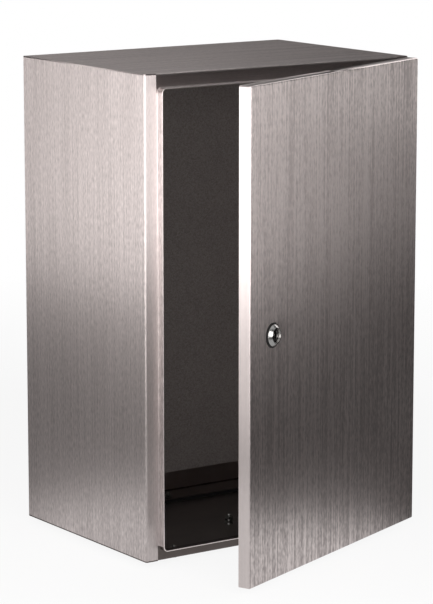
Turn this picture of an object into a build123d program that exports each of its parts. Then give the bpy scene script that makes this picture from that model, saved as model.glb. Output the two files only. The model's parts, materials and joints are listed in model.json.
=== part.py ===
"""Wall enclosure in brushed stainless sheet, with one door on hidden hinges and a quarter-turn lock.

Frame: +Z up, +Y into the wall, +X to the right of someone facing the door.
The origin is the centre of the four wall holes, on the back face.
The door and its lock are drawn closed, then turned about the hinge to where they stand ajar.
"""

import os

from build123d import *

# Body shell
BODY_WIDTH = 400.0
BODY_HEIGHT = 600.0
BODY_DEPTH = 280.0
SHEET = 1.5
BEND_INSIDE = 1.0
SIDE_FLANGE = 19.0
TOP_FLANGE = 17.0
BOTTOM_FLANGE = 13.0
LIP_DEPTH = 10.0
LIP_CORNER = 6.0
SEAM_MARGIN = 1.0

# Wall holes in the back
WALL_HOLE_FROM_SIDE = 25.0
WALL_HOLE_FROM_END = 25.0
WALL_HOLE_RADIUS = 4.5

# Mounting plate on welded studs
PLATE_FROM_SIDE = 25.0
PLATE_FROM_END = 32.5
PLATE_THICKNESS = 2.0
PLATE_CORNER = 3.0
PLATE_STANDOFF = 16.5
PLATE_STUD_FROM_SIDE = 25.0
PLATE_STUD_FROM_END = 27.5
PLATE_STUD_RADIUS = 4.0
PLATE_STUD_TIP = 3.0
SPACER_RADIUS = 7.0
PLATE_WASHER_RADIUS = 8.0
PLATE_WASHER_THICKNESS = 1.6
PLATE_NUT_FLATS = 13.0
PLATE_NUT_HEIGHT = 6.5

# Gland plate under the floor, with its seal, screws and earth stud
GLAND_FROM_SIDE = 50.0
GLAND_FROM_FRONT = 39.0
GLAND_OVERLAP = 20.0
GLAND_CORNER = 8.0
GLAND_PLATE_THICKNESS = 1.5
GLAND_SEAL_THICKNESS = 4.0
GLAND_SCREW_FROM_CORNER = 10.0
GLAND_SCREW_RADIUS = 2.5
GLAND_SCREW_HEAD_RADIUS = 4.75
GLAND_SCREW_HEAD_HEIGHT = 2.7
GLAND_SCREW_TIP = 2.0
GLAND_NUT_FLATS = 8.0
GLAND_NUT_HEIGHT = 4.0
EARTH_STUD_FORWARD = 30.6
EARTH_STUD_RADIUS = 3.0
EARTH_STUD_LENGTH = 13.0
EARTH_WASHER_RADIUS = 5.5
EARTH_WASHER_THICKNESS = 1.2
EARTH_NUT_FLATS = 10.0
EARTH_NUT_HEIGHT = 3.6

# Door
DOOR_REST_ANGLE = 22.5
DOOR_GAP = 4.0
DOOR_DEPTH = 16.0
DOOR_INSET = 1.0
DOOR_CORNER = 2.0
SEAL_WIDTH = 12.0
SEAL_CROWN = 2.5
DOOR_STUD_FROM_HINGE = 40.0
DOOR_STUD_FROM_BOTTOM = 60.0

# Hidden hinges
HINGE_FROM_SIDE = 6.5
HINGE_FROM_FLANGE = 9.0
HINGE_FROM_END = 100.0
PIN_RADIUS = 2.5
PIN_OVERHANG = 1.5
KNUCKLE_RADIUS = 4.0
BODY_KNUCKLE_LENGTH = 20.0
DOOR_KNUCKLE_LENGTH = 11.5
KNUCKLE_GAP = 0.5
BODY_LEAF_MARGIN = 1.5
BODY_LEAF_THICKNESS = 2.5
BODY_LEAF_EDGE = 3.5
DOOR_LEAF_MARGIN = 6.5
DOOR_LEAF_THICKNESS = 2.0
DOOR_LEAF_EDGE = 2.0
DOOR_LEAF_REACH = 6.5
NOTCH_MARGIN = 2.0

# Quarter-turn lock
LOCK_FROM_SIDE = 50.0
LOCK_HEIGHT = 0.0
BEZEL_RADIUS = 13.2
BEZEL_HEIGHT = 5.0
BEZEL_RIM = 1.0
BEZEL_CREST_RADIUS = 9.7
BEZEL_CREST_WIDTH = 0.8
BEZEL_DISH_RADIUS = 7.8
BEZEL_DISH_DEPTH = 2.6
BARREL_RADIUS = 10.0
LOCK_SEAL_THICKNESS = 1.5
LOCK_SEAL_RIM = 1.8
LOCK_NUT_FLATS = 26.0
LOCK_NUT_HEIGHT = 5.0
CORE_RADIUS = 7.0
CORE_SINK = 0.4
KEY_POCKET_RADIUS = 5.2
KEY_POCKET_DEPTH = 9.0
KEY_PIN_RADIUS = 1.6
KEY_WING_LENGTH = 7.0
KEY_WING_THICKNESS = 1.6
KEY_PIN_SINK = 0.5
CAM_THICKNESS = 3.0
CAM_WIDTH = 18.0
CAM_BEHIND_FLANGE = 1.0
CAM_OVERLAP = 10.0
CAM_SQUARE = 8.0
CAM_SCREW_RADIUS = 2.0
CAM_SCREW_HEAD_FLATS = 10.0
CAM_SCREW_HEAD_HEIGHT = 4.0
CAM_SCREW_DEPTH = 10.0

# Clearances, and how near two places are to be the same
RUNNING = 0.05
HOLE_CLEARANCE = 0.25
THREAD_CLEARANCE = 0.1
SEAL_CLEARANCE = 0.3
SAME_PLACE = 0.01

# Places worked out from the sizes above
half_width = BODY_WIDTH / 2
half_height = BODY_HEIGHT / 2
front_y = -BODY_DEPTH
bend_middle = BEND_INSIDE + SHEET / 2
bend_outside = BEND_INSIDE + SHEET
lip_x = half_width - SIDE_FLANGE
lip_top = half_height - TOP_FLANGE
lip_bottom = BOTTOM_FLANGE - half_height
lip_y = front_y - LIP_DEPTH
seam_x = lip_x + BEND_INSIDE + SEAM_MARGIN
seam_top = lip_top - LIP_CORNER
seam_bottom = lip_bottom + LIP_CORNER
floor_top = SHEET - half_height

door_half_width = half_width - DOOR_INSET
door_half_height = half_height - DOOR_INSET
door_back_y = front_y - DOOR_GAP
door_front_y = door_back_y - DOOR_DEPTH
door_inner_y = door_front_y + SHEET
hinge_x = half_width - HINGE_FROM_SIDE
hinge_y = front_y - HINGE_FROM_FLANGE
hinge_axis = Axis((hinge_x, hinge_y, 0), (0, 0, 1))
hinge_heights = (HINGE_FROM_END - half_height, half_height - HINGE_FROM_END)
knuckle_start = BODY_KNUCKLE_LENGTH / 2 + KNUCKLE_GAP
pin_half_length = knuckle_start + DOOR_KNUCKLE_LENGTH + PIN_OVERHANG
body_leaf_half = pin_half_length + BODY_LEAF_MARGIN
door_leaf_half = pin_half_length + DOOR_LEAF_MARGIN
lock_x = LOCK_FROM_SIDE - half_width

os.makedirs("parts", exist_ok=True)


def save(piece, node, on_door=False):
    """Label one finished piece and write it, turned with the door where it rides on it."""
    solid = piece.part.rotate(hinge_axis, DOOR_REST_ANGLE) if on_door else piece.part
    solid.label = node
    export_step(solid, f"parts/{node}.step")


def facing_front(y):
    """A sketch plane at depth y that looks out of the door: local X is +X and local Y is +Z."""
    return Plane.XZ.offset(-y)


def opening_outline(inset=0.0):
    """The door opening's rounded outline, measured at the lip's outer face, less an inset."""
    width = 2 * (lip_x - inset)
    height = lip_top - lip_bottom - 2 * inset
    with BuildSketch(mode=Mode.PRIVATE) as outline:
        with Locations((0, (lip_top + lip_bottom) / 2)):
            RectangleRounded(width, height, max(LIP_CORNER - inset, BEND_INSIDE))
    return outline.sketch


# Side wrap: left side, back and right side folded from one sheet, with front flanges and lips
with BuildPart() as side_wrap:
    with BuildSketch(Plane.XY.offset(floor_top)):
        with BuildLine():
            FilletPolyline(
                (SHEET / 2 - lip_x, lip_y),
                (SHEET / 2 - lip_x, front_y + SHEET / 2),
                (SHEET / 2 - half_width, front_y + SHEET / 2),
                (SHEET / 2 - half_width, -SHEET / 2),
                (half_width - SHEET / 2, -SHEET / 2),
                (half_width - SHEET / 2, front_y + SHEET / 2),
                (lip_x - SHEET / 2, front_y + SHEET / 2),
                (lip_x - SHEET / 2, lip_y),
                radius=bend_middle,
            )
        trace(line_width=SHEET)
    extrude(amount=BODY_HEIGHT - 2 * SHEET)
    # The lips stop short of the corners, which the top and bottom panels carry
    for seam, end in ((seam_top, half_height), (seam_bottom, -half_height)):
        with BuildSketch(facing_front(lip_y)):
            with Locations((0, (seam + end) / 2)):
                Rectangle(2 * seam_x, abs(end - seam))
        extrude(amount=-(LIP_DEPTH + SHEET + bend_outside), mode=Mode.SUBTRACT)
    with BuildSketch(facing_front(0)):
        with GridLocations(
            BODY_WIDTH - 2 * WALL_HOLE_FROM_SIDE, BODY_HEIGHT - 2 * WALL_HOLE_FROM_END, 2, 2
        ):
            Circle(WALL_HOLE_RADIUS)
    extrude(amount=SHEET, mode=Mode.SUBTRACT)
save(side_wrap, "side_wrap")


def lip_edges(panel, y, lip_z):
    """The edges at depth y where a panel's lip meets its flange, round the opening."""
    return [
        edge
        for edge in panel.edges().filter_by_position(Axis.Y, y - SAME_PLACE, y + SAME_PLACE)
        if abs(edge.center().X) < lip_x
        and abs(edge.center().Z - lip_z) < LIP_CORNER
        and edge.length > bend_outside
    ]


def end_panel(side, lip_z):
    """The top (side 1) or bottom (side -1) panel: a plate folded at the front into a flange and a lip."""
    outer_z = side * half_height
    middle_z = side * (half_height - SHEET / 2)
    seam_z = lip_z - side * LIP_CORNER
    with BuildPart() as panel:
        # The flat plate covers the side wrap, and leaves room for the bend between the two seams
        with BuildSketch(Plane.XY.offset(outer_z)):
            with Locations((0, front_y / 2)):
                RectangleRounded(BODY_WIDTH, BODY_DEPTH, bend_outside)
            with Locations((0, front_y + bend_outside / 2)):
                Rectangle(2 * seam_x, bend_outside, mode=Mode.SUBTRACT)
        extrude(amount=-side * SHEET)
        # The front bend and flange run between the side wrap's own flanges
        with BuildSketch(Plane.YZ):
            with BuildLine():
                FilletPolyline(
                    (front_y + 2 * bend_outside, middle_z),
                    (front_y + SHEET / 2, middle_z),
                    (front_y + SHEET / 2, seam_z),
                    radius=bend_middle,
                )
            trace(line_width=SHEET)
        extrude(amount=seam_x, both=True)
        with BuildSketch(facing_front(front_y)):
            add(opening_outline())
        extrude(amount=-SHEET, mode=Mode.SUBTRACT)
        # The lip stands forward round the opening, with the two rounded corners
        with BuildSketch(facing_front(front_y + SHEET)):
            add(opening_outline())
            add(opening_outline(SHEET), mode=Mode.SUBTRACT)
            with Locations((0, (seam_z + outer_z) / 2)):
                Rectangle(BODY_WIDTH, abs(outer_z - seam_z), mode=Mode.INTERSECT)
        extrude(amount=LIP_DEPTH + SHEET)
        fillet(lip_edges(panel, front_y, lip_z), BEND_INSIDE)
        fillet(lip_edges(panel, front_y + SHEET, lip_z), bend_outside)
    return panel


top_panel = end_panel(1, lip_top)
save(top_panel, "top_panel")

# Bottom panel: the same folded panel with the gland opening and its screw holes
gland_centre = (0, front_y / 2)
gland_opening_x = BODY_WIDTH - 2 * GLAND_FROM_SIDE
gland_opening_y = BODY_DEPTH - 2 * GLAND_FROM_FRONT
gland_screw_x = (gland_opening_x + GLAND_OVERLAP) / 2
gland_screw_y = (gland_opening_y + GLAND_OVERLAP) / 2
gland_screw_span = gland_opening_x / 2 - GLAND_SCREW_FROM_CORNER
gland_screws_at = [
    (x, front_y / 2 + y)
    for y in (-gland_screw_y, gland_screw_y)
    for x in (-gland_screw_span, 0, gland_screw_span)
] + [(x, front_y / 2) for x in (-gland_screw_x, gland_screw_x)]
earth_stud_at = (0, front_y / 2 - EARTH_STUD_FORWARD)

with BuildPart() as bottom_panel:
    add(end_panel(-1, lip_bottom).part)
    with BuildSketch(Plane.XY.offset(-half_height)):
        with Locations(gland_centre):
            RectangleRounded(gland_opening_x, gland_opening_y, GLAND_CORNER)
        with Locations(gland_screws_at):
            Circle(GLAND_SCREW_RADIUS + HOLE_CLEARANCE)
    extrude(amount=SHEET, mode=Mode.SUBTRACT)
save(bottom_panel, "bottom_panel")

# Gland plate parts, stacked downwards from the underside of the floor
seal_bottom = -half_height - GLAND_SEAL_THICKNESS
gland_plate_bottom = seal_bottom - GLAND_PLATE_THICKNESS
gland_outer_x = gland_opening_x + 2 * GLAND_OVERLAP
gland_outer_y = gland_opening_y + 2 * GLAND_OVERLAP

with BuildPart() as gland_seal:
    with BuildSketch(Plane.XY.offset(seal_bottom)):
        with Locations(gland_centre):
            RectangleRounded(gland_outer_x, gland_outer_y, GLAND_CORNER)
            RectangleRounded(
                gland_opening_x, gland_opening_y, GLAND_CORNER, mode=Mode.SUBTRACT
            )
        with Locations(gland_screws_at):
            Circle(GLAND_SCREW_RADIUS + HOLE_CLEARANCE, mode=Mode.SUBTRACT)
    extrude(amount=GLAND_SEAL_THICKNESS)
save(gland_seal, "gland_plate_seal")

with BuildPart() as gland_plate:
    with BuildSketch(Plane.XY.offset(gland_plate_bottom)):
        with Locations(gland_centre):
            RectangleRounded(gland_outer_x, gland_outer_y, GLAND_CORNER)
        with Locations(gland_screws_at):
            Circle(GLAND_SCREW_RADIUS + HOLE_CLEARANCE, mode=Mode.SUBTRACT)
    extrude(amount=GLAND_PLATE_THICKNESS)
save(gland_plate, "gland_plate")

with BuildPart() as gland_screws:
    with BuildSketch(Plane.XY.offset(gland_plate_bottom)):
        with Locations(gland_screws_at):
            Circle(GLAND_SCREW_HEAD_RADIUS)
    extrude(amount=-GLAND_SCREW_HEAD_HEIGHT)
    rims = gland_screws.edges().group_by(Axis.Z)[0]
    chamfer(rims, GLAND_SCREW_HEAD_HEIGHT / 2)
    with BuildSketch(Plane.XY.offset(gland_plate_bottom)):
        with Locations(gland_screws_at):
            Circle(GLAND_SCREW_RADIUS)
    extrude(amount=floor_top + GLAND_NUT_HEIGHT + GLAND_SCREW_TIP - gland_plate_bottom)
save(gland_screws, "gland_plate_screws")

with BuildPart() as gland_nuts:
    with BuildSketch(Plane.XY.offset(floor_top)):
        with Locations(gland_screws_at):
            RegularPolygon(GLAND_NUT_FLATS / 2, 6, major_radius=False)
            Circle(GLAND_SCREW_RADIUS + THREAD_CLEARANCE, mode=Mode.SUBTRACT)
    extrude(amount=GLAND_NUT_HEIGHT)
save(gland_nuts, "gland_plate_nuts")


def stud_stack(base, at, heights):
    """Rings or nuts round one earth stud: each entry is (start, height, radius, sides), 0 sides for round."""
    with BuildPart() as stack:
        for start, height, radius, sides in heights:
            with BuildSketch(base.offset(start)):
                with Locations(at):
                    if sides:
                        RegularPolygon(radius, sides, major_radius=False)
                    else:
                        Circle(radius)
                    Circle(EARTH_STUD_RADIUS + THREAD_CLEARANCE, mode=Mode.SUBTRACT)
            extrude(amount=height)
    return stack


def earth_stud(base, at):
    """A welded earth stud that stands on a base plane."""
    with BuildPart() as stud:
        with BuildSketch(base):
            with Locations(at):
                Circle(EARTH_STUD_RADIUS)
        extrude(amount=EARTH_STUD_LENGTH)
        chamfer(stud.faces().sort_by(Axis(base.origin, base.z_dir))[-1].edges(), 0.25 * EARTH_STUD_RADIUS)
    return stud


earth_pitch = EARTH_WASHER_THICKNESS + EARTH_NUT_HEIGHT
earth_washers = [
    (start, EARTH_WASHER_THICKNESS, EARTH_WASHER_RADIUS, 0) for start in (0, earth_pitch)
]
earth_nuts = [
    (start + EARTH_WASHER_THICKNESS, EARTH_NUT_HEIGHT, EARTH_NUT_FLATS / 2, 6)
    for start in (0, earth_pitch)
]

# Earth stud on the gland plate
gland_earth_base = Plane.XY.offset(seal_bottom)
save(earth_stud(gland_earth_base, earth_stud_at), "gland_earth_stud")
save(stud_stack(gland_earth_base, earth_stud_at, earth_washers), "gland_earth_washers")
save(stud_stack(gland_earth_base, earth_stud_at, earth_nuts), "gland_earth_nuts")

# Mounting plate, carried on welded studs with spacers, washers and nuts
back_inner_y = -SHEET
plate_back_y = back_inner_y - PLATE_STANDOFF
plate_front_y = plate_back_y - PLATE_THICKNESS
washer_front_y = plate_front_y - PLATE_WASHER_THICKNESS
nut_front_y = washer_front_y - PLATE_NUT_HEIGHT
plate_width = BODY_WIDTH - 2 * PLATE_FROM_SIDE
plate_height = BODY_HEIGHT - 2 * PLATE_FROM_END
plate_stud_grid = (plate_width - 2 * PLATE_STUD_FROM_SIDE, plate_height - 2 * PLATE_STUD_FROM_END, 2, 2)

with BuildPart() as mounting_plate:
    with BuildSketch(facing_front(plate_back_y)):
        RectangleRounded(plate_width, plate_height, PLATE_CORNER)
        with GridLocations(*plate_stud_grid):
            Circle(PLATE_STUD_RADIUS + HOLE_CLEARANCE, mode=Mode.SUBTRACT)
    extrude(amount=PLATE_THICKNESS)
save(mounting_plate, "mounting_plate")

with BuildPart() as plate_studs:
    with BuildSketch(facing_front(back_inner_y)):
        with GridLocations(*plate_stud_grid):
            Circle(PLATE_STUD_RADIUS)
    extrude(amount=back_inner_y - nut_front_y + PLATE_STUD_TIP)
    chamfer(plate_studs.edges().group_by(Axis.Y)[0], 0.25 * PLATE_STUD_RADIUS)
save(plate_studs, "plate_studs")

with BuildPart() as plate_spacers:
    with BuildSketch(facing_front(back_inner_y)):
        with GridLocations(*plate_stud_grid):
            Circle(SPACER_RADIUS)
            Circle(PLATE_STUD_RADIUS + HOLE_CLEARANCE, mode=Mode.SUBTRACT)
    extrude(amount=PLATE_STANDOFF)
save(plate_spacers, "plate_spacers")

with BuildPart() as plate_washers:
    with BuildSketch(facing_front(plate_front_y)):
        with GridLocations(*plate_stud_grid):
            Circle(PLATE_WASHER_RADIUS)
            Circle(PLATE_STUD_RADIUS + HOLE_CLEARANCE, mode=Mode.SUBTRACT)
    extrude(amount=PLATE_WASHER_THICKNESS)
save(plate_washers, "plate_washers")

with BuildPart() as plate_nuts:
    with BuildSketch(facing_front(washer_front_y)):
        with GridLocations(*plate_stud_grid):
            RegularPolygon(PLATE_NUT_FLATS / 2, 6, major_radius=False)
            Circle(PLATE_STUD_RADIUS + THREAD_CLEARANCE, mode=Mode.SUBTRACT)
    extrude(amount=PLATE_NUT_HEIGHT)
save(plate_nuts, "plate_nuts")

# Hinge leaves on the body's flange: a flat foot and a knuckle that reaches out to the pin
with BuildPart() as hinge_body_leaves:
    for height in hinge_heights:
        with BuildSketch(Plane.XY.offset(height)):
            with Locations(((seam_x + half_width - BODY_LEAF_EDGE) / 2, front_y - BODY_LEAF_THICKNESS / 2)):
                Rectangle(half_width - BODY_LEAF_EDGE - seam_x, BODY_LEAF_THICKNESS)
        extrude(amount=body_leaf_half, both=True)
        with BuildSketch(Plane.XY.offset(height)):
            with Locations((hinge_x, hinge_y)):
                Circle(KNUCKLE_RADIUS)
            with Locations((hinge_x, (hinge_y + front_y) / 2)):
                Rectangle(2 * KNUCKLE_RADIUS - KNUCKLE_GAP, HINGE_FROM_FLANGE)
        extrude(amount=BODY_KNUCKLE_LENGTH / 2, both=True)
        with BuildSketch(Plane.XY.offset(height)):
            with Locations((hinge_x, hinge_y)):
                Circle(PIN_RADIUS)
        extrude(amount=body_leaf_half, both=True, mode=Mode.SUBTRACT)
save(hinge_body_leaves, "hinge_body_leaves")

# Hinge pins, held in the body knuckles
with BuildPart() as hinge_pins:
    for height in hinge_heights:
        with BuildSketch(Plane.XY.offset(height)):
            with Locations((hinge_x, hinge_y)):
                Circle(PIN_RADIUS)
        extrude(amount=pin_half_length, both=True)
    pin_ends = hinge_pins.faces().filter_by(Axis.Z).edges()
    chamfer(pin_ends, 0.25 * PIN_RADIUS)
save(hinge_pins, "hinge_pins")

# Hinge leaves on the door: a foot on the door's inner face and a knuckle above and below the body's
with BuildPart() as hinge_door_leaves:
    leaf_left = hinge_x - DOOR_LEAF_REACH
    leaf_right = door_half_width - SHEET - DOOR_LEAF_EDGE
    for height in hinge_heights:
        with BuildSketch(Plane.XY.offset(height)):
            with Locations(((leaf_left + leaf_right) / 2, door_inner_y + DOOR_LEAF_THICKNESS / 2)):
                Rectangle(leaf_right - leaf_left, DOOR_LEAF_THICKNESS)
        extrude(amount=door_leaf_half, both=True)
        for start in (knuckle_start, -knuckle_start - DOOR_KNUCKLE_LENGTH):
            with BuildSketch(Plane.XY.offset(height + start)):
                with Locations((hinge_x, hinge_y)):
                    Circle(KNUCKLE_RADIUS)
                with Locations((hinge_x - KNUCKLE_RADIUS / 2, (hinge_y + door_inner_y) / 2)):
                    Rectangle(KNUCKLE_RADIUS, hinge_y - door_inner_y)
                with Locations((hinge_x, hinge_y)):
                    Circle(PIN_RADIUS + RUNNING, mode=Mode.SUBTRACT)
            extrude(amount=DOOR_KNUCKLE_LENGTH)
save(hinge_door_leaves, "hinge_door_leaves", on_door=True)

# Door panel: a folded pan, notched at the hinges and bored for the lock
with BuildPart() as door_panel:
    with BuildSketch(facing_front(door_back_y)):
        RectangleRounded(2 * door_half_width, 2 * door_half_height, DOOR_CORNER)
    extrude(amount=DOOR_DEPTH)
    front_edges = door_panel.faces().sort_by(Axis.Y)[0].edges()
    fillet(front_edges, DOOR_CORNER)
    back_face = door_panel.faces().sort_by(Axis.Y)[-1]
    offset(amount=-SHEET, openings=back_face)
    notch_depth = door_back_y - door_inner_y - SHEET
    with BuildSketch(Plane.YZ.offset(door_half_width)):
        for height in hinge_heights:
            with Locations((door_back_y - notch_depth / 2, height)):
                Rectangle(notch_depth, 2 * (body_leaf_half + NOTCH_MARGIN))
    extrude(amount=-(SHEET + DOOR_LEAF_EDGE / 2), mode=Mode.SUBTRACT)
    with BuildSketch(facing_front(door_front_y)):
        with Locations((lock_x, LOCK_HEIGHT)):
            Circle(BARREL_RADIUS + HOLE_CLEARANCE)
    extrude(amount=-SHEET, mode=Mode.SUBTRACT)
save(door_panel, "door_panel", on_door=True)

# Foamed door seal, a ring on the door's inner face that meets the body's lip
with BuildPart() as door_seal:
    with BuildSketch(facing_front(door_inner_y)):
        add(opening_outline((SHEET - SEAL_WIDTH) / 2))
        add(opening_outline((SHEET + SEAL_WIDTH) / 2), mode=Mode.SUBTRACT)
    extrude(amount=-(lip_y - SEAL_CLEARANCE - door_inner_y))
    fillet(door_seal.edges().group_by(Axis.Y)[-1], SEAL_CROWN)
save(door_seal, "door_seal", on_door=True)

# Earth stud on the door's inner face
door_earth_base = Plane(origin=(0, door_inner_y, 0), x_dir=(1, 0, 0), z_dir=(0, 1, 0))
door_earth_at = (hinge_x - DOOR_STUD_FROM_HINGE, door_half_height - DOOR_STUD_FROM_BOTTOM)
save(earth_stud(door_earth_base, door_earth_at), "door_earth_stud", on_door=True)
save(stud_stack(door_earth_base, door_earth_at, earth_washers), "door_earth_washers", on_door=True)
save(stud_stack(door_earth_base, door_earth_at, earth_nuts), "door_earth_nuts", on_door=True)

# Lock, drawn along its own axis, which points out of the door
seal_front_y = door_front_y - LOCK_SEAL_THICKNESS
bezel_front_y = seal_front_y - BEZEL_HEIGHT
dish_y = bezel_front_y + BEZEL_DISH_DEPTH
cam_front_y = front_y + SHEET + CAM_BEHIND_FLANGE
cam_back_y = cam_front_y + CAM_THICKNESS
core_shoulder_y = cam_front_y
barrel_end_y = core_shoulder_y - KNUCKLE_GAP
core_front_y = dish_y + CORE_SINK


def lock_plane(y):
    """A sketch plane across the lock's axis at depth y, centred on the axis."""
    return Plane(origin=(lock_x, y, LOCK_HEIGHT), x_dir=(1, 0, 0), z_dir=(0, -1, 0))


with BuildPart() as lock_housing:
    half_section = Plane(origin=(lock_x, 0, LOCK_HEIGHT), x_dir=(1, 0, 0), z_dir=(0, 0, 1))
    with BuildSketch(half_section):
        with BuildLine():
            Polyline(
                (CORE_RADIUS + RUNNING, barrel_end_y),
                (BARREL_RADIUS, barrel_end_y),
                (BARREL_RADIUS, seal_front_y),
                (BEZEL_RADIUS, seal_front_y),
                (BEZEL_RADIUS, seal_front_y - BEZEL_RIM),
                (BEZEL_CREST_RADIUS, bezel_front_y),
                (BEZEL_CREST_RADIUS - BEZEL_CREST_WIDTH, bezel_front_y),
                (BEZEL_DISH_RADIUS, dish_y),
                (CORE_RADIUS + RUNNING, dish_y),
                close=True,
            )
        make_face()
    revolve(axis=Axis((lock_x, 0, LOCK_HEIGHT), (0, 1, 0)))
save(lock_housing, "lock_housing", on_door=True)

with BuildPart() as lock_seal:
    with BuildSketch(lock_plane(door_front_y)):
        Circle(BEZEL_RADIUS + LOCK_SEAL_RIM)
        Circle(BARREL_RADIUS + HOLE_CLEARANCE, mode=Mode.SUBTRACT)
    extrude(amount=LOCK_SEAL_THICKNESS)
save(lock_seal, "lock_seal", on_door=True)

with BuildPart() as lock_nut:
    with BuildSketch(lock_plane(door_inner_y)):
        RegularPolygon(LOCK_NUT_FLATS / 2, 6, major_radius=False)
        Circle(BARREL_RADIUS + THREAD_CLEARANCE, mode=Mode.SUBTRACT)
    extrude(amount=-LOCK_NUT_HEIGHT)
save(lock_nut, "lock_nut", on_door=True)

# Lock core with a round key pocket, a double-bit pin in it, and a square tail for the cam
with BuildPart() as lock_core:
    with BuildSketch(lock_plane(core_shoulder_y)):
        Circle(CORE_RADIUS)
    extrude(amount=core_shoulder_y - core_front_y)
    with BuildSketch(lock_plane(core_front_y)):
        Circle(KEY_POCKET_RADIUS)
    extrude(amount=-KEY_POCKET_DEPTH, mode=Mode.SUBTRACT)
    with BuildSketch(lock_plane(core_front_y + KEY_POCKET_DEPTH)):
        Circle(KEY_PIN_RADIUS)
        Rectangle(KEY_WING_THICKNESS, KEY_WING_LENGTH)
    extrude(amount=KEY_POCKET_DEPTH - KEY_PIN_SINK)
    with BuildSketch(lock_plane(core_shoulder_y)):
        Rectangle(CAM_SQUARE, CAM_SQUARE)
    extrude(amount=-CAM_THICKNESS)
    with BuildSketch(lock_plane(cam_back_y)):
        Circle(CAM_SCREW_RADIUS + THREAD_CLEARANCE)
    extrude(amount=CAM_SCREW_DEPTH, mode=Mode.SUBTRACT)
save(lock_core, "lock_core", on_door=True)

# Cam: hangs down when open, and turns a quarter to reach behind the body's flange
cam_reach = (lock_x + lip_x - SHEET) + CAM_OVERLAP
cam_arm = cam_reach - CAM_WIDTH / 2
with BuildPart() as lock_cam:
    with BuildSketch(lock_plane(cam_back_y)):
        with Locations((0, -cam_arm / 2)):
            SlotCenterToCenter(cam_arm, CAM_WIDTH, rotation=90)
        Rectangle(CAM_SQUARE + 2 * RUNNING, CAM_SQUARE + 2 * RUNNING, mode=Mode.SUBTRACT)
    extrude(amount=CAM_THICKNESS)
save(lock_cam, "lock_cam", on_door=True)

with BuildPart() as cam_screw:
    with BuildSketch(lock_plane(cam_back_y)):
        RegularPolygon(CAM_SCREW_HEAD_FLATS / 2, 6, major_radius=False)
    extrude(amount=-CAM_SCREW_HEAD_HEIGHT)
    with BuildSketch(lock_plane(cam_back_y)):
        Circle(CAM_SCREW_RADIUS)
    extrude(amount=CAM_SCREW_DEPTH - KNUCKLE_GAP)
save(cam_screw, "cam_screw", on_door=True)
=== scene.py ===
"""Looks of a wall enclosure in brushed stainless sheet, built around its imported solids.

Every piece is in metres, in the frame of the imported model: +Z up, +Y into the wall, +X to the right
of someone facing the door. Pieces of the door are worked out with the door shut, and then turned to
where it stands ajar.
"""

import json
import math

import bmesh
import bpy
from bpy.props import FloatProperty, FloatVectorProperty, PointerProperty
from mathutils import Matrix, Vector


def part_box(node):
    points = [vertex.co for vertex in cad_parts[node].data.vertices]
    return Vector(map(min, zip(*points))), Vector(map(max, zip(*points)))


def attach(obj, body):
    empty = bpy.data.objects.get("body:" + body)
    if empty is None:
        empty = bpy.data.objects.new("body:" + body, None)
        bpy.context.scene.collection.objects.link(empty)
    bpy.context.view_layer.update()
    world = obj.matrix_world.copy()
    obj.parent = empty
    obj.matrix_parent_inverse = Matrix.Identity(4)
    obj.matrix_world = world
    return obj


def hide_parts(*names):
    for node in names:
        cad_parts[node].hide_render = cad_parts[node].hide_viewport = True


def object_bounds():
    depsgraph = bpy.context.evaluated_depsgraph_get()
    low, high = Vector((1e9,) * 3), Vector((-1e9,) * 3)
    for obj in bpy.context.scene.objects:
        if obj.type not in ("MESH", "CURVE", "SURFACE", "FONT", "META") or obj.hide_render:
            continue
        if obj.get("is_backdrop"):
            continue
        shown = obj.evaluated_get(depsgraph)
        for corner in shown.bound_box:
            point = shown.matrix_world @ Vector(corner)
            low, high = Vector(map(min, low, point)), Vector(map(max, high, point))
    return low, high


bl_info = {
    "name": "Wall Enclosure Looks",
    "version": (1, 0, 0),
    "blender": (4, 5, 0),
    "location": "3D View > Sidebar > Enclosure",
    "description": "Finishes a packed wall enclosure: brushed sheet, seals, lock, fasteners and studio",
    "category": "Object",
}

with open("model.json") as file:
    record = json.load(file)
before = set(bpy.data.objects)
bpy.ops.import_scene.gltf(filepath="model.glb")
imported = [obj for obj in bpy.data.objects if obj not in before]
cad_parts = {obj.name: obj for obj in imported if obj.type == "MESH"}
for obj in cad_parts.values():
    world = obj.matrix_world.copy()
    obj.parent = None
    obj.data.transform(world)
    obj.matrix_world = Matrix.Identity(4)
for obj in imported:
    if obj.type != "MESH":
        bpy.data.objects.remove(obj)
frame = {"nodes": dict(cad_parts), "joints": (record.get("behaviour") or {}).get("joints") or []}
CAD_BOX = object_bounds()
MM = 0.001
IN_PLACE = Matrix.Identity(4)

joints = {joint["name"]: joint for joint in frame["joints"]}
HINGE = Vector(joints["door_hinge"]["pos_m"])
DOOR_AJAR = -math.radians(joints["door_hinge"]["range_deg"][0])
AJAR = Matrix.Translation(HINGE) @ Matrix.Rotation(DOOR_AJAR, 4, "Z") @ Matrix.Translation(-HINGE)
SHUT = AJAR.inverted()
FLOOR_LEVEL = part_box("gland_plate_screws")[0].z


# Measures taken from the frame


def points_of(node, into=IN_PLACE):
    """A node's corner points, read in another frame, such as the shut door's."""
    return [into @ vertex.co for vertex in frame["nodes"][node].data.vertices]


def extent(points):
    """The lowest and highest corners of some points."""
    low = Vector(min(point[axis] for point in points) for axis in range(3))
    high = Vector(max(point[axis] for point in points) for axis in range(3))
    return low, high


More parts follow.
